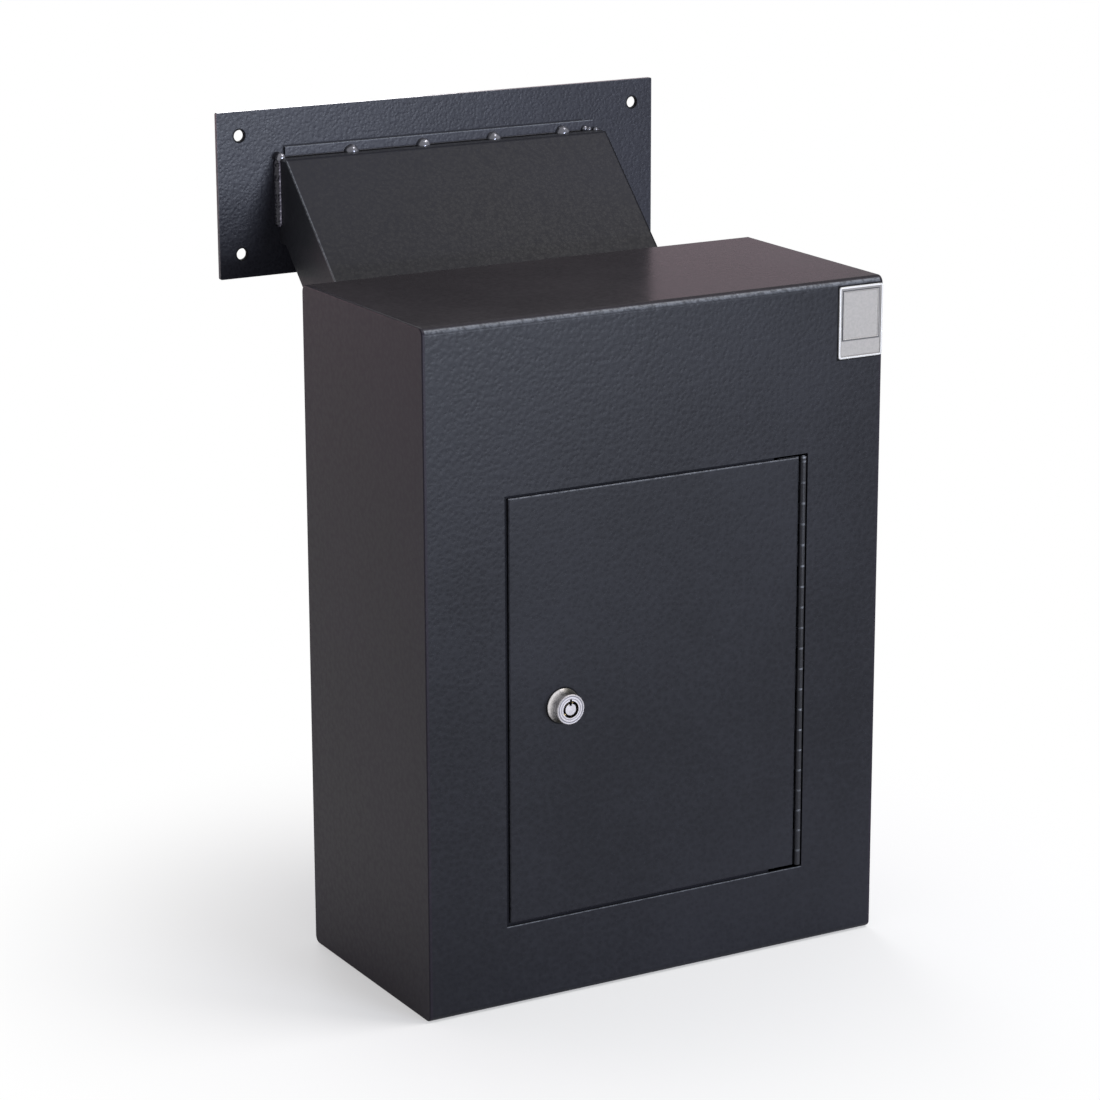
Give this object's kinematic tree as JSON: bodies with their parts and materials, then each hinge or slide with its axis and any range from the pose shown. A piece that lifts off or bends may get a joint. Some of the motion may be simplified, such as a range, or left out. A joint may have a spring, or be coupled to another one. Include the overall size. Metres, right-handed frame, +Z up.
{
  "type": "key drop box",
  "caption": "Sheet steel key drop box with a flush, locked, piano-hinged door and a sloping deposit chute behind it that ends in a drilled wall plate",
  "frame": {"origin": "centre of the box's bottom face", "axes": "+Z up, +Y back into the wall along the box's depth, +X to the right as seen from the front"},
  "size_m": [0.3048, 0.2741, 0.4912],
  "materials": {
    "body_coat": "charcoal hammered powder coat, semi-gloss",
    "plate_coat": "charcoal powder coat with a coarse hammered texture",
    "lock_satin": "satin nickel plate",
    "zinc": "bright zinc plate",
    "pin_brass": "turned brass"
  },
  "bodies": {
    "box": {"body_wrap": "body_coat", "seam_weld": "body_coat", "left_side": "body_coat", "right_side": "body_coat", "stop_left": "body_coat", "stop_top": "body_coat", "stop_bottom": "body_coat", "baffle": "body_coat", "hinge_frame_leaf": "body_coat", "frame_leaf_welds": "body_coat", "hinge_pin": "body_coat", "chute_sleeve": "body_coat", "sleeve_welds": "body_coat"},
    "door": {"door_panel": "body_coat", "hinge_door_leaf": "body_coat", "door_leaf_welds": "body_coat", "lock_cylinder": "lock_satin", "lock_washer": "zinc", "lock_nut": "zinc"},
    "lock": {"lock_plug": "lock_satin", "key_pins": "pin_brass", "lock_cam": "zinc", "cam_washer": "zinc", "cam_screw": "zinc"},
    "chute": {"wall_plate": "plate_coat", "chute_hood": "body_coat", "chute_floor": "body_coat", "chute_left_side": "body_coat", "chute_right_side": "body_coat", "hood_tacks": "body_coat", "side_beads": "body_coat"}
  },
  "joints": [
    {"name": "door_swing", "type": "hinge", "parent": "box", "child": "door", "pos_m": [0.09865, -0.07365, 0.1774], "axis": [0, 0, 1], "range_deg": [0, 140]},
    {"name": "lock_turn", "type": "hinge", "parent": "door", "child": "lock", "pos_m": [-0.0641, -0.0746, 0.1775], "axis": [0, -1, 0], "range_deg": [0, 90]},
    {"name": "chute_slide", "type": "slide", "parent": "box", "child": "chute", "axis": [0, 0.7071, 0.7071], "range_m": [0, 0.07184]}
  ]
}
